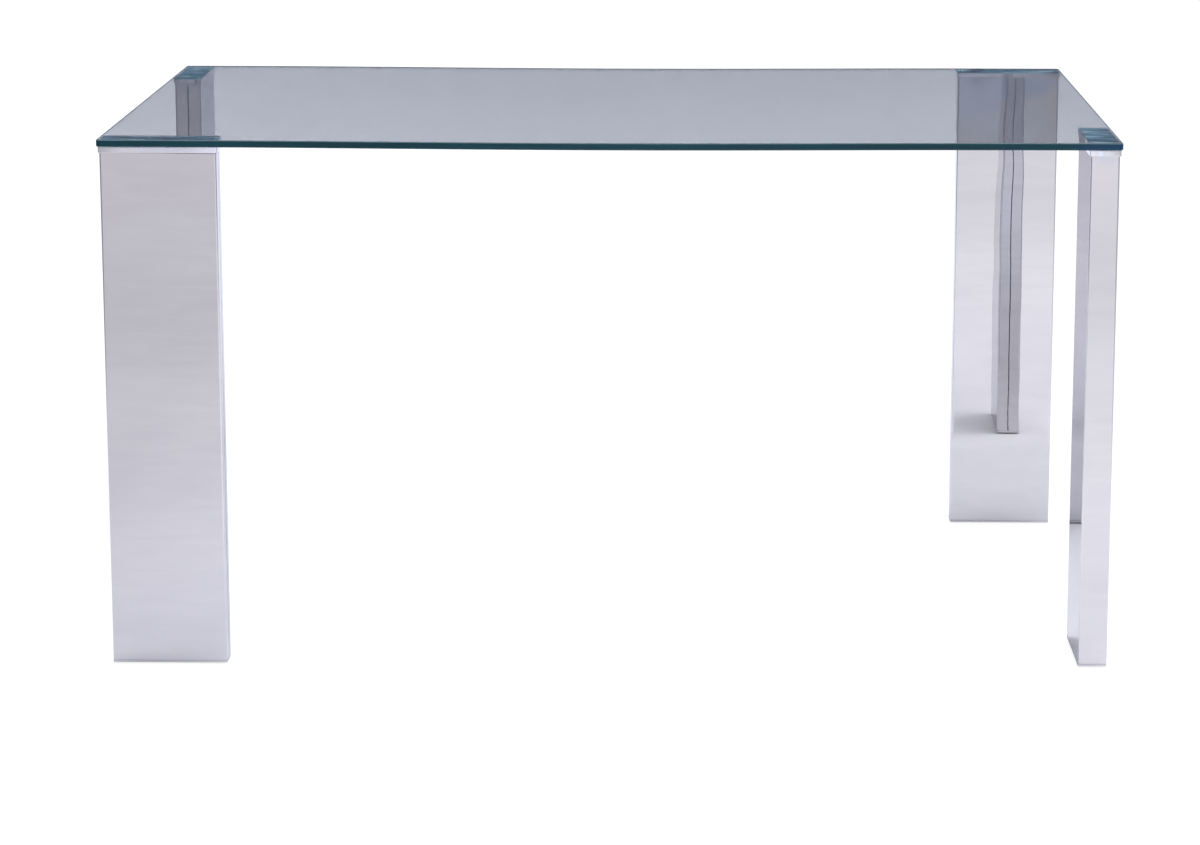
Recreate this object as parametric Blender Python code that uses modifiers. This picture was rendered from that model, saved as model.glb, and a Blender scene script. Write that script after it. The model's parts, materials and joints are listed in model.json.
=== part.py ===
"""Glass-topped table on four folded stainless-steel slab legs.

Units are metres, +Z is up, and the origin is the middle of the table on the floor.
The length runs along X, the depth along Y, and the front faces -Y. The legs form a pinwheel: each
one is the leg before it turned a quarter turn, so every leg is modelled in the same frame of its
own, with its outer corner at the origin, its width along +X and its thickness along +Y.
"""
import bmesh
import bpy
from math import pi, radians
from mathutils import Vector

# Overall size
LENGTH = 1.400
DEPTH = 0.900
HEIGHT = 0.740

# Glass pane
GLASS_THICKNESS = 0.010
GLASS_CORNER_RADIUS = 0.006
GLASS_ARRIS = 0.001

# Legs
LEG_WIDTH = 0.160
LEG_THICKNESS = 0.040
LEG_SETBACK = 0.004
SHEET = 0.0015
BEND_RADIUS = 0.0025
SEAM_WIDTH = 0.0015
PLATE_THICKNESS = 0.008
PLATE_PROUD = 0.0015
PLATE_ARRIS = 0.0004
PLATE_REVEAL = 0.0005
END_PLATE = 0.003
CLAMP_PLATE = 0.004
CLAMP_PLATE_LEVEL = 0.045
FLOOR_GAP = 0.002

# Tie rod, M10
ROD_RADIUS = 0.005
ROD_CHAMFER = 0.0008
ROD_TAIL = 0.008
ROD_ENGAGEMENT = 0.006
WASHER_RADIUS = 0.012
WASHER_THICKNESS = 0.002
NUT_ACROSS_FLATS = 0.016
NUT_HEIGHT = 0.008
SOCKET_HOLE_RADIUS = 0.0125

# Levelling glides, M8
GLIDE_INSET = 0.028
GLIDE_RADIUS = 0.012
GLIDE_EDGE = 0.001
GLIDE_RECESS_RADIUS = 0.0128
GLIDE_SOLE = 0.0015
STEM_RADIUS = 0.004
STEM_TOP = 0.030
STEM_CHAMFER = 0.0006
NUT_PLATE_SIZE = 0.034
NUT_PLATE_THICKNESS = 0.005

CLEARANCE = 0.0003
DISC_SEGMENTS = 24
ROD_SEGMENTS = 16
BEND_SEGMENTS = 4

# Heights worked out from the sizes above
GLASS_UNDERSIDE = HEIGHT - GLASS_THICKNESS
PLATE_TOP = GLASS_UNDERSIDE - CLEARANCE
PLATE_UNDERSIDE = PLATE_TOP - PLATE_THICKNESS
SHELL_TOP = PLATE_UNDERSIDE - PLATE_REVEAL
FOOT_PLATE_TOP = FLOOR_GAP + END_PLATE
SHELL_BOTTOM = FOOT_PLATE_TOP + CLEARANCE
NUT_PLATE_BOTTOM = FOOT_PLATE_TOP + CLEARANCE
NUT_PLATE_TOP = NUT_PLATE_BOTTOM + NUT_PLATE_THICKNESS
GLIDE_TOP = NUT_PLATE_BOTTOM - CLEARANCE
WASHER_BOTTOM = CLAMP_PLATE_LEVEL - CLEARANCE - WASHER_THICKNESS
NUT_BOTTOM = WASHER_BOTTOM - CLEARANCE - NUT_HEIGHT
ROD_BOTTOM = NUT_BOTTOM - ROD_TAIL
ROD_TOP = PLATE_UNDERSIDE + ROD_ENGAGEMENT

# Corner name, which side of X and Y it is on, and its quarter turns
CORNERS = (
    ("front_left", -1, -1, 0),
    ("front_right", 1, -1, 1),
    ("back_right", 1, 1, 2),
    ("back_left", -1, 1, 3),
)


def clear_scene():
    for obj in list(bpy.data.objects):
        bpy.data.objects.remove(obj, do_unlink=True)


def make_collection(name):
    collection = bpy.data.collections.new(name)
    bpy.context.scene.collection.children.link(collection)
    return collection


def make_material(name, colour, roughness, metallic=0.0, transmission=0.0):
    material = bpy.data.materials.new(name)
    material.use_nodes = True
    shader = material.node_tree.nodes["Principled BSDF"]
    shader.inputs["Base Color"].default_value = (*colour, 1.0)
    shader.inputs["Roughness"].default_value = roughness
    shader.inputs["Metallic"].default_value = metallic
    shader.inputs["Transmission Weight"].default_value = transmission
    return material


def add_object(name, mesh, location, collection, parent=None, material=None):
    obj = bpy.data.objects.new(name, mesh)
    collection.objects.link(obj)
    obj.parent = parent
    obj.location = location
    if material and not mesh.materials:
        mesh.materials.append(material)
    return obj


def mesh_from(bm, name):
    mesh = bpy.data.meshes.new(name)
    bm.to_mesh(mesh)
    bm.free()
    return mesh


def slab_mesh(name, size, corner_radius=0.0, arris=0.0):
    """A flat plate around its own centre, with round upright corners and an arris on both faces."""
    bm = bmesh.new()
    bmesh.ops.create_cube(bm, size=1.0)
    bmesh.ops.scale(bm, vec=Vector(size), verts=bm.verts)
    if corner_radius:
        upright = [e for e in bm.edges if e.verts[0].co.z * e.verts[1].co.z < 0]
        bmesh.ops.bevel(bm, geom=upright, offset=corner_radius, segments=BEND_SEGMENTS,
                        profile=0.5, affect="EDGES")
    if arris:
        rims = [e for e in bm.edges if e.verts[0].co.z * e.verts[1].co.z > 0]
        bmesh.ops.bevel(bm, geom=rims, offset=arris, segments=1, affect="EDGES")
    return mesh_from(bm, name)


def cylinder_mesh(name, radius, height, segments, top_edge=0.0, bottom_edge=0.0):
    """An upright cylinder around its own centre, with its end edges cut at 45 degrees if asked."""
    bm = bmesh.new()
    bmesh.ops.create_cone(bm, cap_ends=True, segments=segments, radius1=radius, radius2=radius,
                          depth=height)
    for side, edge in ((1, top_edge), (-1, bottom_edge)):
        if edge:
            rim = [e for e in bm.edges if all(v.co.z * side > height / 2 - 1e-6 for v in e.verts)]
            bmesh.ops.bevel(bm, geom=rim, offset=edge, segments=1, affect="EDGES")
    mesh = mesh_from(bm, name)
    mesh.shade_smooth()
    mesh.set_sharp_from_angle(angle=radians(30))
    return mesh


def shell_mesh(name, height):
    """The leg's folded sheet before it is thick: its outer surface, open at the seam."""
    seam = SEAM_WIDTH / 2
    half_width = LEG_WIDTH / 2
    half_thickness = LEG_THICKNESS / 2
    path = (
        (half_width, seam),
        (half_width, half_thickness),
        (-half_width, half_thickness),
        (-half_width, -half_thickness),
        (half_width, -half_thickness),
        (half_width, -seam),
    )
    bm = bmesh.new()
    verts = [bm.verts.new((x, y, -height / 2)) for x, y in path]
    edges = [bm.edges.new(pair) for pair in zip(verts, verts[1:])]
    raised = bmesh.ops.extrude_edge_only(bm, edges=edges)["geom"]
    bmesh.ops.translate(bm, vec=(0, 0, height),
                        verts=[v for v in raised if isinstance(v, bmesh.types.BMVert)])
    outer = bm.faces[:]
    if sum(f.normal.dot(f.calc_center_median()) for f in outer) < 0:
        bmesh.ops.reverse_faces(bm, faces=outer)
    bends = [e for e in bm.edges if len(e.link_faces) == 2]
    bmesh.ops.bevel(bm, geom=bends, offset=BEND_RADIUS, segments=BEND_SEGMENTS, profile=0.5,
                    affect="EDGES")
    mesh = mesh_from(bm, name)
    mesh.shade_smooth()
    mesh.set_sharp_from_angle(angle=radians(30))
    return mesh


def cut(obj, *cutters):
    for cutter in cutters:
        boolean = obj.modifiers.new("cut_" + cutter.name, "BOOLEAN")
        boolean.operation = "DIFFERENCE"
        boolean.solver = "EXACT"
        boolean.object = cutter


class LegMeshes:
    """The meshes that all four legs share."""

    def __init__(self):
        plate = (LEG_WIDTH + 2 * PLATE_PROUD, LEG_THICKNESS + 2 * PLATE_PROUD, PLATE_THICKNESS)
        inner_inset = 2 * (SHEET + CLEARANCE)
        inner = (LEG_WIDTH - inner_inset, LEG_THICKNESS - inner_inset)
        nut_radius = NUT_ACROSS_FLATS / 3 ** 0.5
        self.mounting_plate = slab_mesh("mounting_plate", plate, arris=PLATE_ARRIS)
        self.shell = shell_mesh("leg_shell", SHELL_TOP - SHELL_BOTTOM)
        self.top_end_plate = slab_mesh("top_end_plate", (*inner, END_PLATE), BEND_RADIUS)
        self.clamp_plate = slab_mesh("clamp_plate", (*inner, CLAMP_PLATE), BEND_RADIUS)
        self.foot_plate = slab_mesh("foot_plate", (LEG_WIDTH, LEG_THICKNESS, END_PLATE), BEND_RADIUS)
        self.nut_plate = slab_mesh("glide_nut_plate",
                                   (NUT_PLATE_SIZE, NUT_PLATE_SIZE, NUT_PLATE_THICKNESS))
        self.rod = cylinder_mesh("tie_rod", ROD_RADIUS, ROD_TOP - ROD_BOTTOM - CLEARANCE,
                                 ROD_SEGMENTS, top_edge=ROD_CHAMFER, bottom_edge=ROD_CHAMFER)
        self.washer = cylinder_mesh("tie_washer", WASHER_RADIUS, WASHER_THICKNESS, DISC_SEGMENTS)
        self.nut = cylinder_mesh("tie_nut", nut_radius, NUT_HEIGHT, 6)
        self.stem = cylinder_mesh("glide_stem", STEM_RADIUS, STEM_TOP - GLIDE_SOLE - CLEARANCE,
                                  ROD_SEGMENTS, top_edge=STEM_CHAMFER)
        self.pad = cylinder_mesh("glide_pad", GLIDE_RADIUS, GLIDE_TOP, DISC_SEGMENTS,
                                 bottom_edge=GLIDE_EDGE)
        # The bores run past the plates that they go through, and end inside those with a blind hole
        self.rod_bore = cylinder_mesh("rod_bore", ROD_RADIUS + CLEARANCE, ROD_TOP - ROD_BOTTOM,
                                      ROD_SEGMENTS)
        self.socket_bore = cylinder_mesh("socket_bore", SOCKET_HOLE_RADIUS, 3 * END_PLATE,
                                         DISC_SEGMENTS)
        self.glide_recess = cylinder_mesh("glide_recess", GLIDE_RECESS_RADIUS, 3 * END_PLATE,
                                          DISC_SEGMENTS)
        self.stem_bore = cylinder_mesh("stem_bore", STEM_RADIUS + CLEARANCE, STEM_TOP - GLIDE_SOLE,
                                       ROD_SEGMENTS)


def build_leg(corner, side_x, side_y, quarter_turns, meshes, materials, parts, cutters):
    steel, hardware, nylon = materials
    frame = add_object(corner + "_leg_frame", None, (0, 0, 0), parts)
    frame.empty_display_size = LEG_THICKNESS
    frame.location = (side_x * (LENGTH / 2 - LEG_SETBACK), side_y * (DEPTH / 2 - LEG_SETBACK), 0)
    frame.rotation_euler.z = quarter_turns * pi / 2
    middle_x = LEG_WIDTH / 2
    middle_y = LEG_THICKNESS / 2

    def piece(name, mesh, bottom, top, material, x=middle_x):
        location = (x, middle_y, (bottom + top) / 2)
        return add_object(f"{corner}_{name}", mesh, location, parts, frame, material)

    def cutter(name, mesh, bottom, top, x=middle_x):
        location = (x, middle_y, (bottom + top) / 2)
        tool = add_object(f"{corner}_{name}", mesh, location, cutters, frame)
        tool.hide_render = True
        tool.display_type = "WIRE"
        return tool

    rod_bore = cutter("rod_bore", meshes.rod_bore, ROD_BOTTOM, ROD_TOP)
    socket_bore = cutter("socket_bore", meshes.socket_bore, FLOOR_GAP, FOOT_PLATE_TOP)

    shell = piece("leg_shell", meshes.shell, SHELL_BOTTOM, SHELL_TOP, steel)
    solidify = shell.modifiers.new("sheet", "SOLIDIFY")
    solidify.thickness = SHEET
    solidify.offset = -1
    solidify.use_even_offset = True

    mounting_plate = piece("mounting_plate", meshes.mounting_plate, PLATE_UNDERSIDE, PLATE_TOP, steel)
    top_end_plate = piece("top_end_plate", meshes.top_end_plate, SHELL_TOP - END_PLATE, SHELL_TOP, steel)
    clamp_plate = piece("clamp_plate", meshes.clamp_plate, CLAMP_PLATE_LEVEL,
                        CLAMP_PLATE_LEVEL + CLAMP_PLATE, hardware)
    piece("tie_rod", meshes.rod, ROD_BOTTOM, ROD_TOP - CLEARANCE, hardware)
    washer = piece("tie_washer", meshes.washer, WASHER_BOTTOM, WASHER_BOTTOM + WASHER_THICKNESS, hardware)
    nut = piece("tie_nut", meshes.nut, NUT_BOTTOM, NUT_BOTTOM + NUT_HEIGHT, hardware)
    for bored in (mounting_plate, top_end_plate, clamp_plate, washer, nut):
        cut(bored, rod_bore)

    foot_plate = piece("foot_plate", meshes.foot_plate, FLOOR_GAP, FOOT_PLATE_TOP, steel)
    cut(foot_plate, socket_bore)
    for place, x in (("outer", GLIDE_INSET), ("inner", LEG_WIDTH - GLIDE_INSET)):
        recess = cutter(place + "_glide_recess", meshes.glide_recess, FLOOR_GAP, FOOT_PLATE_TOP, x)
        stem_bore = cutter(place + "_stem_bore", meshes.stem_bore, GLIDE_SOLE, STEM_TOP, x)
        nut_plate = piece(place + "_glide_nut_plate", meshes.nut_plate, NUT_PLATE_BOTTOM,
                          NUT_PLATE_TOP, hardware, x)
        pad = piece(place + "_glide_pad", meshes.pad, 0, GLIDE_TOP, nylon, x)
        piece(place + "_glide_stem", meshes.stem, GLIDE_SOLE + CLEARANCE, STEM_TOP, hardware, x)
        cut(foot_plate, recess)
        cut(nut_plate, stem_bore)
        cut(pad, stem_bore)


def build_table():
    parts = make_collection("glass_table")
    cutters = make_collection("cutters")
    glass = make_material("clear_glass", (0.72, 0.84, 0.84), 0.0, transmission=1.0)
    steel = make_material("polished_steel", (0.80, 0.79, 0.82), 0.05, metallic=1.0)
    hardware = make_material("zinc_plated_steel", (0.62, 0.62, 0.60), 0.35, metallic=1.0)
    nylon = make_material("black_nylon", (0.03, 0.03, 0.03), 0.5)

    pane = slab_mesh("glass_top", (LENGTH, DEPTH, GLASS_THICKNESS), GLASS_CORNER_RADIUS, GLASS_ARRIS)
    add_object("glass_top", pane, (0, 0, HEIGHT - GLASS_THICKNESS / 2), parts, material=glass)

    meshes = LegMeshes()
    for corner, side_x, side_y, quarter_turns in CORNERS:
        build_leg(corner, side_x, side_y, quarter_turns, meshes, (steel, hardware, nylon), parts, cutters)
    bpy.context.view_layer.update()


clear_scene()
build_table()
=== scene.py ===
"""Looks of the glass-topped table: its top, bonded plates, folded legs and glides, and the floor,
light and camera."""

import json
from math import copysign, cos, pi, radians, sin

import bmesh
import bpy
from mathutils import Matrix, Vector, noise


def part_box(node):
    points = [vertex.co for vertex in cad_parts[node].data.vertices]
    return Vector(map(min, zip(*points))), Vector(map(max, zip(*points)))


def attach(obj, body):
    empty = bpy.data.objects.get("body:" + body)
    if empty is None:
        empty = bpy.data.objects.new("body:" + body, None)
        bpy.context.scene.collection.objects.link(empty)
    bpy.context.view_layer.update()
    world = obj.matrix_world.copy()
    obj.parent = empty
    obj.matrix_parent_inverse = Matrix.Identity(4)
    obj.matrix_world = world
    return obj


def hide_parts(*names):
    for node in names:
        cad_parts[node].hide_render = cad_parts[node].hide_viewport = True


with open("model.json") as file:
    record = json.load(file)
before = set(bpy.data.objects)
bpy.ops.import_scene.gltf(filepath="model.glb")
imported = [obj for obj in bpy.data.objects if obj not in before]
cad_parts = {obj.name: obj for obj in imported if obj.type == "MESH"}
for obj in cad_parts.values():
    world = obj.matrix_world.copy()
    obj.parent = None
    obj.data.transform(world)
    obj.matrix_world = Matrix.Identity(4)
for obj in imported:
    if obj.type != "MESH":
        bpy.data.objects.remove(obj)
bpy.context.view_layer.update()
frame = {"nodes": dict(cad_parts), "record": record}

BODY = "table"
# Each corner's name, its leg's quarter turns, and how pale its bond film is
CORNERS = (
    ("front_left", 0, 0.75),
    ("front_right", 1, 0.86),
    ("back_right", 2, 0.90),
    ("back_left", 3, 0.95),
)
PLACES = ("outer", "inner")

# The pane, in metres
PANE_CORNER = 0.006
PANE_ARRIS = 0.0012
PANE_GRID = 0.05
SAG = 0.0022
BONDED_END = 0.09
PANE_STEPS = 8
# Where along X the edge turns bluer with painted light, over the right-hand legs
PAINTED_BLUE_EDGE = (0.615, 0.655)

# The mounting plates and the bond film, which fills FILM_SHARE of the gap. A hold is a line of
# points beside a rounding that keeps the flat face flat.
PLATE_EDGE = 0.0004
PLATE_HOLD = 0.0009
PLATE_CORNER = 0.0012
PLATE_CORNER_LEAST = 0.0002
PLATE_STEPS = 4
FILM_MARGIN = 0.001
FILM_CORNER = 0.002
FILM_SPILL = 0.012
FILM_SHARE = (0.25, 0.75)
FILM_SEED = 3.7

# The folded sheet: its section
SHEET = 0.0015
SEAM = 0.0015
BEND = 0.0025
BEND_STEPS = 6
GRID = 0.012
HOLD = 0.0006
ON_FACE = 1e-6

# The folded sheet: how it strays from true. Scales are waves per metre.
WAVE = 0.00018
WAVE_CALM = 0.014
WAVE_SEED = 7.3
SWELL_SCALE = (5, 5, 6)
RIPPLE_SCALE = (11, 11, 17)
RIPPLE_SHARE = 0.3
TOP_REACH = 0.14
LEAN = 0.00035
DROP = 0.0006
TWISTED_LEG = "back_right"
TWIST = 0.0085
DENT = 0.0004
DENT_SPREAD = 2.2
SWIRL = 0.00022
SWIRL_SCALE = (14, 24)
SWIRL_SEED = 3.1

# The glides' discs: pairs are inset from the rim, and depth below the top or height of the sole
DISC_STEPS = 48
DISC_HOLE = 0.0043
DISC_HOLE_FLOOR = 0.0015
DISC_ROUND = 0.0012
DISC_RIM = ((0.0008, 0.0), (0.0002, 0.0003), (0.0, 0.0009), (0.0, 0.0016), (0.0004, 0.0019),
            (0.0, 0.0022))
DISC_SOLE = ((0.0040, 0.0), (0.0044, 0.0002), (0.0060, 0.0002), (0.0064, 0.0))

# The floor's painted light and shade: its tone from front to back over FLOOR_DEPTH, with a
# painted shadow under the table and just behind it and a painted lighter strip just in front of
# it, and its painted shade from left to right over FLOOR_WIDTH, brightest near the middle, in
# front of the table, beside it and behind it
FLOOR_SIZE = 60
FLOOR_DEPTH = (-7.0, 8.0)
FLOOR_WIDTH = (-4.0, 4.0)
FLOOR_PAINTED_LIGHT_AND_SHADE = (
    (0.060, (0.58, 0.65, 0.80)), (0.095, (0.735, 0.715, 0.735)),
    (0.250, (0.64, 0.64, 0.655)), (0.320, (0.69, 0.685, 0.705)),
    (0.425, (0.69, 0.69, 0.735)), (0.440, (0.77, 0.77, 0.81)),
    (0.460, (0.68, 0.68, 0.715)), (0.485, (0.655, 0.655, 0.695)),
    (0.530, (0.570, 0.575, 0.62)), (0.620, (0.69, 0.705, 0.750)),
)
PAINTED_SHADE_FRONT = (
    (0.00, (0.40, 0.40, 0.42)), (0.16, (0.45, 0.45, 0.47)),
    (0.23, (0.78, 0.78, 0.79)), (0.39, (0.80, 0.80, 0.81)),
    (0.52, (1.12, 1.12, 1.13)), (0.59, (0.99, 0.99, 0.985)),
    (0.69, (0.95, 0.95, 0.945)), (0.81, (0.60, 0.60, 0.62)),
    (1.00, (0.45, 0.45, 0.47)),
)
PAINTED_SHADE_BESIDE = (
    (0.00, (0.40, 0.40, 0.42)), (0.16, (0.45, 0.45, 0.47)),
    (0.23, (0.92, 0.92, 0.92)), (0.39, (0.94, 0.94, 0.94)),
    (0.53, (1.08, 1.08, 1.08)), (0.585, (0.97, 0.97, 0.96)),
    (0.69, (0.97, 0.97, 0.96)), (0.81, (0.60, 0.60, 0.62)),
    (1.00, (0.45, 0.45, 0.47)),
)
PAINTED_SHADE_BEHIND = (
    (0.00, (0.45, 0.45, 0.47)), (0.19, (0.50, 0.50, 0.52)),
    (0.25, (1.00, 1.00, 1.00)), (0.46, (0.88, 0.88, 0.89)),
    (0.70, (0.88, 0.88, 0.89)), (0.81, (0.50, 0.50, 0.52)),
)
# Where, in metres from front to back, the shade in front gives way to the next two
BESIDE_FROM = (-1.5, -0.5)
BEHIND_FROM = (1.0, 4.0)
# A bluer patch far in front on the right, which the back right leg's top mirrors
BLUE_TONE = (0.70, 0.77, 0.90)
BLUE_REACH = (-4.2, -5.0)
BLUE_WIDTH = ((0.585, (0, 0, 0)), (0.605, (1, 1, 1)), (0.625, (1, 1, 1)), (0.640, (0, 0, 0)))
# The light that the floor gives off behind the table
BEHIND_GLOW = (0.26, 0.28, 0.32)
# How white the floor is when it is seen straight on, and how much of that hides its shadows
WHITE = 1.1
WHITE_SHARE = 0.8

# The camera: place in metres, lens in millimetres, shift in widths of the picture, and turns
# in radians
CAMERA_PLACE = (0.11539, -5.31530, 1.39167)
CAMERA_LENS = 108.044
CAMERA_SHIFT = (-0.06066, -0.04010)
CAMERA_HEADING = 0.00575
CAMERA_DIP = 0.19761
CAMERA_ROLL = 0.00283


# ---------------------------------------------------------------- materials

def new_material(name):
    material = bpy.data.materials.new(name)
    material.use_nodes = True
    nodes = material.node_tree.nodes
    return material, nodes, material.node_tree.links, nodes["Principled BSDF"]


def set_inputs(shader, **values):
    for name, value in values.items():
        shader.inputs[name.replace("_", " ")].default_value = value


def noise_node(nodes, links, scale, detail, stretch=(1, 1, 1), distortion=0.0):
    """Noise over the piece's own coordinates, drawn out along the axes where stretch is small."""
    place = nodes.new("ShaderNodeTexCoord")
    mapping = nodes.new("ShaderNodeMapping")
    mapping.inputs["Scale"].default_value = stretch
    texture = nodes.new("ShaderNodeTexNoise")
    texture.inputs["Scale"].default_value = scale
    texture.inputs["Detail"].default_value = detail
    texture.inputs["Distortion"].default_value = distortion
    links.new(place.outputs["Object"], mapping.inputs["Vector"])
    links.new(mapping.outputs["Vector"], texture.inputs["Vector"])
    return texture.outputs["Fac"]


def axis_nodes(nodes, links, space="Object"):
    """The X, Y and Z of the point being shaded."""
    place = nodes.new("ShaderNodeTexCoord")
    parts = nodes.new("ShaderNodeSeparateXYZ")
    links.new(place.outputs[space], parts.inputs["Vector"])
    return parts.outputs["X"], parts.outputs["Y"], parts.outputs["Z"]


def ramp_node(nodes, links, source, *stops):
    ramp = nodes.new("ShaderNodeValToRGB")
    elements = ramp.color_ramp.elements
    while len(elements) < len(stops):
        elements.new(0.5)
    for element, (position, colour) in zip(elements, stops):
        element.position = position
        element.color = (*colour, 1.0)
    links.new(source, ramp.inputs["Fac"])
    return ramp.outputs["Color"]


def mix_node(nodes, links, first, second, factor=1.0, blend="MIX"):
    """Mixes first with second, which is a socket or a plain colour."""
    mix = nodes.new("ShaderNodeMix")
    mix.data_type = "RGBA"
    mix.blend_type = blend
    if isinstance(factor, float):
        mix.inputs["Factor"].default_value = factor
    else:
        links.new(factor, mix.inputs["Factor"])
    links.new(first, mix.inputs["A"])
    if isinstance(second, tuple):
        mix.inputs["B"].default_value = (*second, 1.0)
    else:
        links.new(second, mix.inputs["B"])
    return mix.outputs["Result"]


def range_node(nodes, links, source, low, high):
    """The source's 0 to 1, taken to low to high."""
    scaled = nodes.new("ShaderNodeMapRange")
    scaled.inputs["To Min"].default_value = low
    scaled.inputs["To Max"].default_value = high
    links.new(source, scaled.inputs["Value"])
    return scaled.outputs["Result"]


def span_node(nodes, links, source, start, end):
    """Where source lies between start and end, from 0 to 1."""
    span = nodes.new("ShaderNodeMapRange")
    span.inputs["From Min"].default_value = start
    span.inputs["From Max"].default_value = end
    links.new(source, span.inputs["Value"])
    return span.outputs["Result"]


def polished_steel():
    """Mirror-polished sheet: soft clouds of warmer and cooler grey, faint level polishing bands,
    smears in the gloss, and shallow streaks left by the polishing."""
    material, nodes, links, shader = new_material("polished_steel")
    clouds = noise_node(nodes, links, scale=3.0, detail=4.0, stretch=(1, 1, 2.2))
    tone = ramp_node(nodes, links, clouds,
                     (0.30, (0.622, 0.606, 0.630)), (0.70, (0.664, 0.655, 0.674)))
    bands = noise_node(nodes, links, scale=11.0, detail=4.0, stretch=(1, 1, 6.0), distortion=0.8)
    shade = ramp_node(nodes, links, bands, (0.32, (0.955, 0.955, 0.965)), (0.68, (1.0, 1.0, 1.0)))
    smears = noise_node(nodes, links, scale=26.0, detail=5.0, stretch=(1, 1, 0.35), distortion=0.6)
    links.new(mix_node(nodes, links, tone, shade, blend="MULTIPLY"), shader.inputs["Base Color"])
    links.new(range_node(nodes, links, smears, 0.001, 0.009), shader.inputs["Roughness"])
    streaks = noise_node(nodes, links, scale=45.0, detail=5.0, stretch=(0.3, 0.3, 1.6),
                         distortion=0.5)
    bump = nodes.new("ShaderNodeBump")
    bump.inputs["Strength"].default_value = 0.5
    bump.inputs["Distance"].default_value = 0.00002
    links.new(streaks, bump.inputs["Height"])
    links.new(bump.outputs["Normal"], shader.inputs["Normal"])
    set_inputs(shader, Metallic=1.0)
    shader.inputs["Specular Tint"].default_value = (0.79, 0.79, 0.82, 1.0)
    return material


def satin_steel():
    """The bonded plates: the same steel with a fine grain along the bar."""
    material, nodes, links, shader = new_material("satin_steel")
    grain = noise_node(nodes, links, scale=300.0, detail=4.0, stretch=(0.2, 0.2, 3.0))
    colour = ramp_node(nodes, links, grain,
                       (0.3, (0.705, 0.685, 0.700)), (0.7, (0.765, 0.750, 0.765)))
    links.new(colour, shader.inputs["Base Color"])
    links.new(range_node(nodes, links, grain, 0.03, 0.06), shader.inputs["Roughness"])
    set_inputs(shader, Metallic=1.0)
    shader.inputs["Specular Tint"].default_value = (0.80, 0.80, 0.84, 1.0)
    return material


def zinc_steel():
    """Plated hardware inside the legs and the glides' stems, with a faint spangle."""
    material, nodes, links, shader = new_material("zinc_steel")
    spangle = noise_node(nodes, links, scale=90.0, detail=3.0)
    colour = ramp_node(nodes, links, spangle,
                       (0.35, (0.50, 0.50, 0.48)), (0.65, (0.66, 0.66, 0.63)))
    links.new(colour, shader.inputs["Base Color"])
    links.new(range_node(nodes, links, spangle, 0.28, 0.45), shader.inputs["Roughness"])
    set_inputs(shader, Metallic=1.0)
    return material


def black_nylon():
    """The glides' moulded discs, with a fine grain."""
    material, nodes, links, shader = new_material("black_nylon")
    grain = noise_node(nodes, links, scale=1500.0, detail=2.0)
    colour = ramp_node(nodes, links, grain,
                       (0.3, (0.018, 0.018, 0.019)), (0.7, (0.032, 0.032, 0.033)))
    bump = nodes.new("ShaderNodeBump")
    bump.inputs["Strength"].default_value = 0.15
    bump.inputs["Distance"].default_value = 0.0001
    links.new(grain, bump.inputs["Height"])
    links.new(bump.outputs["Normal"], shader.inputs["Normal"])
    links.new(colour, shader.inputs["Base Color"])
    links.new(range_node(nodes, links, grain, 0.42, 0.58), shader.inputs["Roughness"])
    return material


def clear_glass():
    """Clear glass with faint smudges, which lets the lamps' light through to the floor."""
    material, nodes, links, shader = new_material("clear_glass")
    smudges = noise_node(nodes, links, scale=5.0, detail=4.0)
    tint = ramp_node(nodes, links, smudges,
                     (0.3, (0.960, 0.980, 0.985)), (0.7, (0.985, 0.995, 1.0)))
    links.new(tint, shader.inputs["Base Color"])
    set_inputs(shader, Roughness=0.0, IOR=1.52)
    shader.inputs["Transmission Weight"].default_value = 1.0
    clear = nodes.new("ShaderNodeBsdfTransparent")
    clear.inputs["Color"].default_value = (0.86, 0.90, 0.92, 1.0)
    path = nodes.new("ShaderNodeLightPath")
    mix = nodes.new("ShaderNodeMixShader")
    links.new(path.outputs["Is Shadow Ray"], mix.inputs["Fac"])
    links.new(shader.outputs["BSDF"], mix.inputs[1])
    links.new(clear.outputs["BSDF"], mix.inputs[2])
    links.new(mix.outputs["Shader"], nodes["Material Output"].inputs["Surface"])
    return material


def glass_edge():
    """The pane's polished edge, dark teal from the long way through the glass, and bluer over the
    right-hand legs, where the blue is painted light."""
    material, nodes, links, shader = new_material("glass_edge")
    depth = noise_node(nodes, links, scale=6.0, detail=3.0, stretch=(1, 1, 12))
    teal = ramp_node(nodes, links, depth,
                     (0.30, (0.001, 0.036, 0.048)), (0.70, (0.004, 0.057, 0.074)))
    # Painted light: the bluer colour over the right-hand legs
    blue = ramp_node(nodes, links, depth,
                     (0.30, (0.006, 0.040, 0.085)), (0.70, (0.014, 0.062, 0.125)))
    along = axis_nodes(nodes, links)[0]
    painted_blue_light = span_node(nodes, links, along, *PAINTED_BLUE_EDGE)
    links.new(mix_node(nodes, links, teal, blue, painted_blue_light), shader.inputs["Base Color"])
    set_inputs(shader, Roughness=0.08, IOR=1.30)
    return material


def glass_arris():
    """The narrow ground bevel along the pane's edges."""
    material, nodes, links, shader = new_material("glass_arris")
    grind = noise_node(nodes, links, scale=40.0, detail=3.0, stretch=(1, 1, 6))
    colour = ramp_node(nodes, links, grind,
                       (0.3, (0.012, 0.055, 0.078)), (0.7, (0.032, 0.095, 0.130)))
    links.new(colour, shader.inputs["Base Color"])
    set_inputs(shader, Roughness=0.22)
    return material


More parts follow.
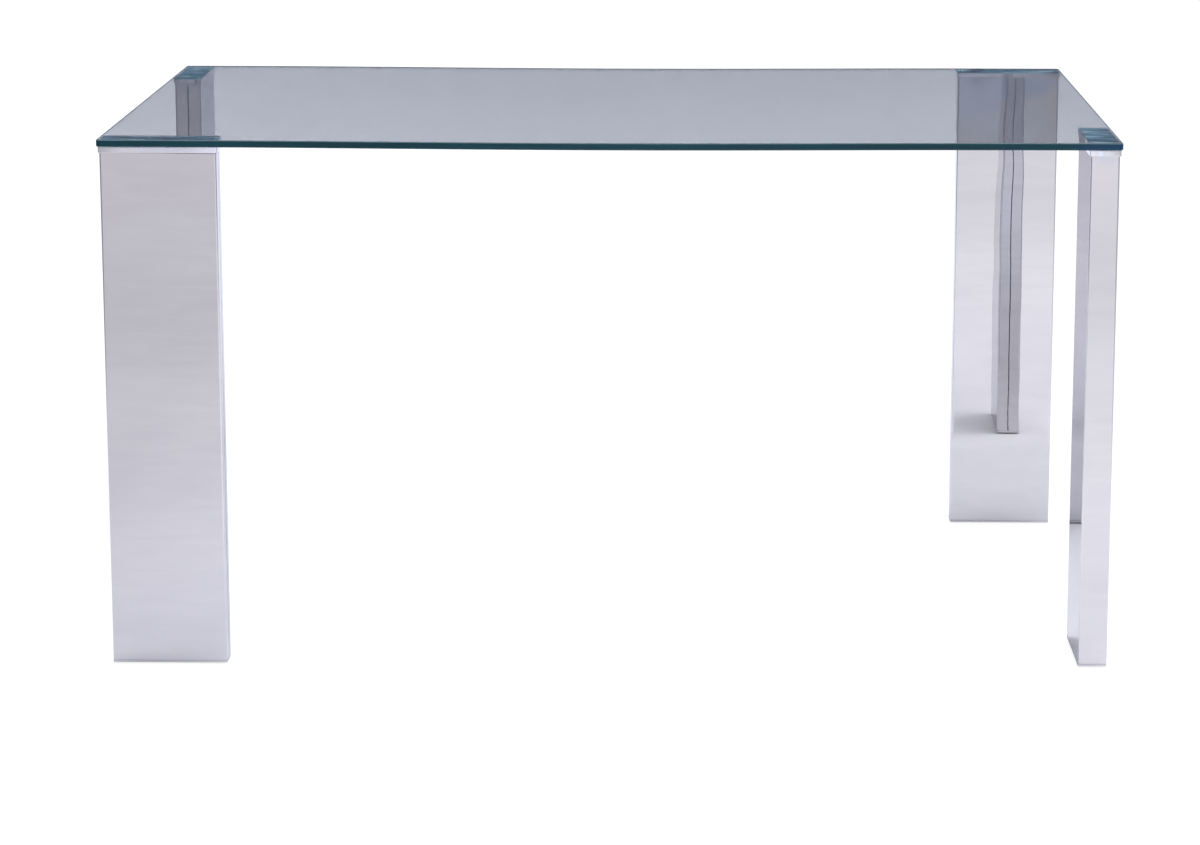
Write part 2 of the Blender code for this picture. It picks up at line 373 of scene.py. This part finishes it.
def bond_film(corner, paleness, seed):
    """The cured adhesive under the glass, dark blue with pale streaks where it was drawn out. It
    is wetted to the glass, so it has no gloss of its own."""
    material, nodes, links, shader = new_material(corner + "_bond_film")
    streaks = noise_node(nodes, links, scale=16.0, detail=2.0, stretch=(0.6, 1.6, 1.0),
                         distortion=2.2)
    streaks.node.noise_dimensions = "4D"
    streaks.node.inputs["W"].default_value = seed
    stops = ((0.36, (0.004, 0.012, 0.030)), (0.46, (0.08, 0.19, 0.27)),
             (0.56, (0.18, 0.36, 0.50)), (0.66, (0.58, 0.78, 0.88)))
    stops = [(at, tuple(paleness * c for c in colour)) for at, colour in stops]
    links.new(ramp_node(nodes, links, streaks, *stops), shader.inputs["Base Color"])
    links.new(range_node(nodes, links, streaks, 0.15, 0.40), shader.inputs["Roughness"])
    shader.inputs["Specular IOR Level"].default_value = 0.0
    return material


# ------------------------------------------------------------------- meshes

def mesh_piece(name, bm, body, materials):
    """Makes a piece of a bmesh, riding on a body."""
    mesh = bpy.data.meshes.new(name)
    bm.to_mesh(mesh)
    bm.free()
    for material in materials:
        mesh.materials.append(material)
    piece = bpy.data.objects.new(name, mesh)
    bpy.context.scene.collection.objects.link(piece)
    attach(piece, body)
    return piece


def apply_modifiers(piece):
    """Makes what the modifiers show the piece's own mesh."""
    seen = piece.evaluated_get(bpy.context.evaluated_depsgraph_get())
    piece.data = bpy.data.meshes.new_from_object(seen)
    piece.modifiers.clear()


def smooth(mesh, angle=30):
    """Smooth shading, with edges sharper than the angle in degrees kept sharp."""
    mesh.shade_smooth()
    mesh.set_sharp_from_angle(angle=radians(angle))


def arc(centre, radius, start, end, steps):
    """Points along an arc in the plane, angles in quarter turns."""
    angles = [(start + (end - start) * i / steps) * pi / 2 for i in range(steps + 1)]
    return [(centre[0] + radius * cos(a), centre[1] + radius * sin(a)) for a in angles]


def flat_run(start, end, spacing, margin):
    """Points along a straight stretch, the first and last a margin in from its ends."""
    start, end = Vector(start), Vector(end)
    length = (end - start).length
    along = (end - start) / length
    steps = max(1, round((length - 2 * margin) / spacing))
    marks = [margin + (length - 2 * margin) * i / steps for i in range(steps + 1)]
    return [tuple(start + along * mark) for mark in marks]


def closed_stack(outlines, heights):
    """A closed solid through matching outlines at the given heights, its walls made before its
    two ends."""
    bm = bmesh.new()
    rows = [[bm.verts.new((x, y, z)) for x, y in line] for line, z in zip(outlines, heights)]
    for lower, upper in zip(rows, rows[1:]):
        count = len(lower)
        for i in range(count):
            j = (i + 1) % count
            bm.faces.new((lower[i], lower[j], upper[j], upper[i]))
    bm.faces.new(list(reversed(rows[0])))
    bm.faces.new(rows[-1])
    return bm


# --------------------------------------------------------------- the pieces

def rounded_outline(low, high, radius, steps):
    """The outline of a rectangle with round corners, anticlockwise from its right end."""
    centres = ((high.x - radius, low.y + radius), (high.x - radius, high.y - radius),
               (low.x + radius, high.y - radius), (low.x + radius, low.y + radius))
    points = []
    for turn, centre in enumerate(centres):
        points += arc(centre, radius, turn - 1, turn, steps)
    return points


def sag(x, reach):
    """How far the pane hangs below flat between its legs, level where it is bonded."""
    along = abs(x) / (reach - BONDED_END)
    return 0.0 if along >= 1 else SAG * cos(along * pi / 2) ** 2


def glass_pane(glass, edge, arris):
    """The pane, with ground arrises and cut finely enough to sag."""
    low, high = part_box("glass_top")
    inset = Vector((PANE_ARRIS, PANE_ARRIS, 0))
    outer = rounded_outline(low, high, PANE_CORNER, PANE_STEPS)
    inner = rounded_outline(low + inset, high - inset, PANE_CORNER - PANE_ARRIS, PANE_STEPS)
    heights = (low.z, low.z + PANE_ARRIS, high.z - PANE_ARRIS, high.z)
    bm = closed_stack((inner, outer, outer, inner), heights)
    count = len(outer)
    for i, face in enumerate(bm.faces):
        if i < 3 * count:
            face.material_index = 1 if count <= i < 2 * count else 2
    for axis, reach in ((Vector((1, 0, 0)), high.x), (Vector((0, 1, 0)), high.y)):
        cuts = round(2 * reach / PANE_GRID)
        for i in range(1, cuts):
            bmesh.ops.bisect_plane(bm, geom=bm.verts[:] + bm.edges[:] + bm.faces[:],
                                   plane_co=axis * (2 * reach * i / cuts - reach), plane_no=axis)
    for vert in bm.verts:
        vert.co.z -= sag(vert.co.x, high.x)
    pane = mesh_piece("glass_pane", bm, BODY, (glass, edge, arris))
    smooth(pane.data, angle=20)
    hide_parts("glass_top")


def mounting_plate(corner, satin):
    """The bonded bar, with its edges rounded over."""
    node = corner + "_mounting_plate"
    low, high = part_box(node)
    levels = [(PLATE_HOLD, 0.0)]
    levels += [(PLATE_EDGE * (1 - sin(a)), PLATE_EDGE * (1 - cos(a)))
               for a in (0, pi / 8, pi / 4, 3 * pi / 8, pi / 2)]
    levels += [(0.0, PLATE_HOLD)]
    lower = [(inset, low.z + rise) for inset, rise in levels]
    upper = [(inset, high.z - rise) for inset, rise in reversed(levels)]
    outlines, heights = [], []
    for inset, height in lower + upper:
        margin = Vector((inset, inset, 0))
        corner_radius = max(PLATE_CORNER_LEAST, PLATE_CORNER - inset)
        outlines.append(rounded_outline(low + margin, high - margin, corner_radius, PLATE_STEPS))
        heights.append(height)
    bm = closed_stack(outlines, heights)
    plate = mesh_piece(corner + "_bonded_plate", bm, BODY, (satin,))
    smooth(plate.data, angle=35)
    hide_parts(node)


def leg_section(width, thickness):
    """The sheet's outer line around the leg, from one lip of the seam to the other."""
    seam = SEAM / 2
    x, y = width / 2, thickness / 2
    corners = ((x, y, 0), (-x, y, 1), (-x, -y, 2), (x, -y, 3))
    points = flat_run((x, seam), (x, y - BEND - HOLD), GRID, 0.0)
    bends = [arc((cx - copysign(BEND, cx), cy - copysign(BEND, cy)), BEND, turn, turn + 1,
                 BEND_STEPS) for cx, cy, turn in corners]
    for bend, following in zip(bends, bends[1:]):
        points += bend + flat_run(bend[-1], following[0], GRID, HOLD)
    points += bends[-1]
    points += flat_run((x, -(y - BEND - HOLD)), (x, -seam), GRID, 0.0)
    return points


def sheet_wave(x, y, z, margin, top, seed):
    """How far the sheet stands off flat at a point: long soft swells, stronger near the top,
    and calm within a few millimetres of the bends, which are margin away."""
    sx, sy, sz = SWELL_SCALE
    swell = noise.noise(Vector((x * sx + seed, y * sy, z * sz)))
    rx, ry, rz = RIPPLE_SCALE
    ripple = noise.noise(Vector((x * rx, y * ry + seed, z * rz))) * RIPPLE_SHARE
    calm = min(1.0, max(0.0, margin - BEND) / WAVE_CALM)
    near_top = max(0.0, 1 - (top - z) / TOP_REACH)
    return WAVE * (swell + ripple) * (1 + near_top) * calm * calm * (3 - 2 * calm)


def sheet_dent(x, z, width, top):
    """How far a leg's front stands off flat where it was drawn in to its end plate."""
    near_top = max(0.0, 1 - (top - z) / TOP_REACH)
    middle = min(1.0, DENT_SPREAD * cos(pi * x / width) ** 2)
    swirl = noise.noise(Vector((x * SWIRL_SCALE[0], SWIRL_SEED, z * SWIRL_SCALE[1]))) * SWIRL
    return middle * (swirl * near_top ** 0.5 - DENT * near_top ** 2)


def leg_frame(corner, turns):
    """The leg's own frame, with its width along X, its thickness along Y and its seam on the +X
    side. One leg was bonded on a little twisted."""
    low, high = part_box(corner + "_leg_shell")
    middle = (low + high) / 2
    size = high - low
    width, thickness = max(size.x, size.y), min(size.x, size.y)
    angle = turns * pi / 2 - (TWIST if corner == TWISTED_LEG else 0.0)
    place = Matrix.Translation((middle.x, middle.y, 0)) @ Matrix.Rotation(angle, 4, "Z")
    return place, width, thickness, low.z, high.z


def leg_skin(corner, turns, steel):
    """The folded sheet with its open seam, in soft waves, leaning and dropping by a hair towards
    its top."""
    place, width, thickness, bottom, top = leg_frame(corner, turns)
    half = Vector((width / 2, thickness / 2))
    section = leg_section(width, thickness)
    rows = round((top - bottom) / GRID)
    bm = bmesh.new()
    grid = []
    for r in range(rows + 1):
        z = bottom + (top - bottom) * r / rows
        line = []
        for x, y in section:
            lift = (LEAN * (0.5 - x / width) - DROP * (0.5 + x / width) ** 2) * r / rows
            if abs(abs(y) - half.y) < ON_FACE:
                wave = sheet_wave(x, y, z, half.x - abs(x), top, WAVE_SEED * turns)
                if y > 0 and corner == TWISTED_LEG:
                    wave += sheet_dent(x, z, width, top)
                y += wave * copysign(1, y)
            elif abs(abs(x) - half.x) < ON_FACE:
                wave = sheet_wave(x, y, z, half.y - abs(y), top, WAVE_SEED * turns)
                x += wave * copysign(1, x)
            line.append(bm.verts.new(place @ Vector((x, y, z + lift))))
        grid.append(line)
    for lower, upper in zip(grid, grid[1:]):
        for i in range(len(section) - 1):
            bm.faces.new((lower[i], lower[i + 1], upper[i + 1], upper[i]))
    skin = mesh_piece(corner + "_folded_leg", bm, BODY, (steel,))
    solidify = skin.modifiers.new("sheet", "SOLIDIFY")
    solidify.thickness = SHEET
    solidify.offset = -1
    solidify.use_even_offset = True
    apply_modifiers(skin)
    smooth(skin.data)
    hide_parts(corner + "_leg_shell")


def bond(corner, film):
    """The film lies in the bond gap, a little short of the plate's outer edges, and spills past
    the plate towards the table's middle."""
    low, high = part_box(corner + "_mounting_plate")
    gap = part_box("glass_top")[0].z - high.z
    margin = Vector((FILM_MARGIN, FILM_MARGIN, 0))
    low, high = low + margin, high - margin
    if low.y > 0:
        low.y -= FILM_SPILL
    else:
        high.y += FILM_SPILL
    outline = rounded_outline(low, high, FILM_CORNER, PLATE_STEPS)
    bm = closed_stack((outline, outline), [high.z + share * gap for share in FILM_SHARE])
    mesh_piece(corner + "_bond_film", bm, BODY, (film,))


def glide_disc(corner, place, nylon):
    """A moulded disc: rounded sole with a shallow ring in it, a groove round its rim and a blind
    hole for the stem."""
    node = f"{corner}_{place}_glide_pad"
    low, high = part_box(node)
    centre = (low + high) / 2
    radius = (high.x - low.x) / 2
    profile = [(DISC_HOLE, high.z)]
    profile += [(radius - inset, high.z - depth) for inset, depth in DISC_RIM]
    profile += [(radius - DISC_ROUND + x, DISC_ROUND + y)
                for x, y in arc((0, 0), DISC_ROUND, 0, -1, 5)]
    profile += [(radius - inset, height) for inset, height in DISC_SOLE]
    bm = bmesh.new()
    columns = []
    for i in range(DISC_STEPS):
        angle = 2 * pi * i / DISC_STEPS
        around = Vector((cos(angle), sin(angle), 0))
        columns.append([bm.verts.new((centre.x + r * around.x, centre.y + r * around.y, z))
                        for r, z in profile + [(DISC_HOLE, DISC_HOLE_FLOOR)]])
    last = len(profile) - 1
    for here, there in zip(columns, columns[1:] + columns[:1]):
        for k in range(last):
            bm.faces.new((here[k + 1], there[k + 1], there[k], here[k]))
        bm.faces.new((here[0], there[0], there[-1], here[-1]))
    bm.faces.new([column[last] for column in reversed(columns)])
    bm.faces.new([column[-1] for column in columns])
    body = f"{corner}_{place}_glide"
    disc = mesh_piece(body + "_disc", bm, body, (nylon,))
    smooth(disc.data, angle=40)
    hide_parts(node)


# ---------------------------------------------------------- floor and light

def floor_colour(nodes, links, x, y):
    """The floor's colour, with painted light and shade from front to back, a painted shadow under
    the table, and painted shade from left to right.
    """
    depth = span_node(nodes, links, y, *FLOOR_DEPTH)
    across = span_node(nodes, links, x, *FLOOR_WIDTH)
    front, beside, behind = (ramp_node(nodes, links, across, *stops)
                             for stops in (PAINTED_SHADE_FRONT, PAINTED_SHADE_BESIDE, PAINTED_SHADE_BEHIND))
    shade = mix_node(nodes, links, front, beside, span_node(nodes, links, y, *BESIDE_FROM))
    shade = mix_node(nodes, links, shade, behind, span_node(nodes, links, y, *BEHIND_FROM))
    # Painted light and shade from front to back, with a painted shadow under the table
    tone = ramp_node(nodes, links, depth, *FLOOR_PAINTED_LIGHT_AND_SHADE)
    plain = mix_node(nodes, links, tone, shade, blend="MULTIPLY")
    patch = nodes.new("ShaderNodeMath")
    patch.operation = "MULTIPLY"
    links.new(span_node(nodes, links, y, *BLUE_REACH), patch.inputs[0])
    links.new(ramp_node(nodes, links, across, *BLUE_WIDTH), patch.inputs[1])
    return mix_node(nodes, links, plain, BLUE_TONE, patch.outputs["Value"])


def floor():
    """A pale sweep for the lamps and for what the steel mirrors, its colour holding painted light
    and shade. Seen straight on it is near white, with its shadows softened."""
    bpy.ops.mesh.primitive_plane_add(size=FLOOR_SIZE)
    plane = bpy.context.object
    plane.name = "floor"
    material, nodes, links, shader = new_material("floor")
    x, y, _ = axis_nodes(nodes, links)
    # Painted light and shade, with a painted shadow under the table, in the floor's colour
    links.new(floor_colour(nodes, links, x, y), shader.inputs["Base Color"])
    behind = span_node(nodes, links, y, *BEHIND_FROM)
    glow = ramp_node(nodes, links, behind, (0.0, (0.0, 0.0, 0.0)), (1.0, BEHIND_GLOW))
    links.new(glow, shader.inputs["Emission Color"])
    set_inputs(shader, Roughness=1.0, Emission_Strength=1.0, Specular_IOR_Level=0.0)
    white = nodes.new("ShaderNodeEmission")
    white.inputs["Strength"].default_value = WHITE
    path = nodes.new("ShaderNodeLightPath")
    seen = nodes.new("ShaderNodeMath")
    seen.operation = "MULTIPLY"
    seen.inputs[1].default_value = WHITE_SHARE
    mix = nodes.new("ShaderNodeMixShader")
    links.new(path.outputs["Is Camera Ray"], seen.inputs[0])
    links.new(seen.outputs["Value"], mix.inputs["Fac"])
    links.new(shader.outputs["BSDF"], mix.inputs[1])
    links.new(white.outputs["Emission"], mix.inputs[2])
    links.new(mix.outputs["Shader"], nodes["Material Output"].inputs["Surface"])
    plane.data.materials.append(material)


def area_light(name, location, target, size, power):
    """A soft lamp that lights the floor and isn't mirrored itself."""
    data = bpy.data.lights.new(name, "AREA")
    data.shape = "RECTANGLE"
    data.size, data.size_y = size
    data.energy = power
    light = bpy.data.objects.new(name, data)
    bpy.context.scene.collection.objects.link(light)
    light.location = location
    direction = Vector(target) - Vector(location)
    light.rotation_euler = direction.to_track_quat("-Z", "Y").to_euler()
    light.visible_glossy = False


def sun_light():
    """A very broad sun, which lights the whole floor evenly and leaves only soft shadows."""
    data = bpy.data.lights.new("broad_sun", "SUN")
    data.energy = 1.75
    data.angle = radians(70)
    light = bpy.data.objects.new("broad_sun", data)
    bpy.context.scene.collection.objects.link(light)
    light.rotation_euler = (radians(-12), radians(8), 0)


def studio_world():
    """White behind everything, and for what the metal and the glass mirror, a studio that is
    bright overhead and dim blue-grey along the horizon."""
    world = bpy.data.worlds.new("studio")
    world.use_nodes = True
    bpy.context.scene.world = world
    nodes, links = world.node_tree.nodes, world.node_tree.links
    nodes.clear()
    height = axis_nodes(nodes, links, "Generated")[2]
    sky = ramp_node(nodes, links, height,
                    (0.0, (0.075, 0.085, 0.120)), (0.18, (0.075, 0.085, 0.120)),
                    (0.32, (0.20, 0.24, 0.30)), (0.55, (1.05, 1.06, 1.10)))
    studio = nodes.new("ShaderNodeBackground")
    links.new(sky, studio.inputs["Color"])
    white = nodes.new("ShaderNodeBackground")
    white.inputs["Color"].default_value = (1.0, 1.0, 1.0, 1.0)
    path = nodes.new("ShaderNodeLightPath")
    mix = nodes.new("ShaderNodeMixShader")
    output = nodes.new("ShaderNodeOutputWorld")
    links.new(path.outputs["Is Camera Ray"], mix.inputs["Fac"])
    links.new(studio.outputs["Background"], mix.inputs[1])
    links.new(white.outputs["Background"], mix.inputs[2])
    links.new(mix.outputs["Shader"], output.inputs["Surface"])


def camera():
    """The camera, as a fit to the table's corners and edges gives it."""
    data = bpy.data.cameras.new("camera")
    data.sensor_width = 36.0
    data.lens = CAMERA_LENS
    data.shift_x, data.shift_y = CAMERA_SHIFT
    data.clip_end = 200.0
    cam = bpy.data.objects.new("camera", data)
    bpy.context.scene.collection.objects.link(cam)
    turn = (Matrix.Rotation(CAMERA_HEADING, 4, "Z") @ Matrix.Rotation(pi / 2 - CAMERA_DIP, 4, "X")
            @ Matrix.Rotation(CAMERA_ROLL, 4, "Z"))
    cam.location = CAMERA_PLACE
    cam.rotation_euler = turn.to_euler()
    bpy.context.scene.camera = cam


def build():
    """Gives every CAD node its finish, and makes the pieces that stand for the visible ones."""
    steel, satin, zinc, nylon = polished_steel(), satin_steel(), zinc_steel(), black_nylon()
    finishes = {"polished_steel": steel, "zinc_steel": zinc, "black_nylon": nylon}
    for part in frame["record"]["subparts"]:
        node = frame["nodes"][part["node"]]
        if part["material_slot"] in finishes:
            node.data.materials.clear()
            node.data.materials.append(finishes[part["material_slot"]])
    glass_pane(clear_glass(), glass_edge(), glass_arris())
    for corner, turns, paleness in CORNERS:
        leg_skin(corner, turns, steel)
        mounting_plate(corner, satin)
        bond(corner, bond_film(corner, paleness, FILM_SEED * turns))
        for place in PLACES:
            glide_disc(corner, place, nylon)


camera()
build()
floor()
studio_world()
sun_light()
area_light("right_fill", location=(5.0, 0.0, 3.2), target=(1.2, 0.0, 0), size=(4.0, 6.0),
           power=200)
bpy.context.scene.view_settings.view_transform = "Standard"
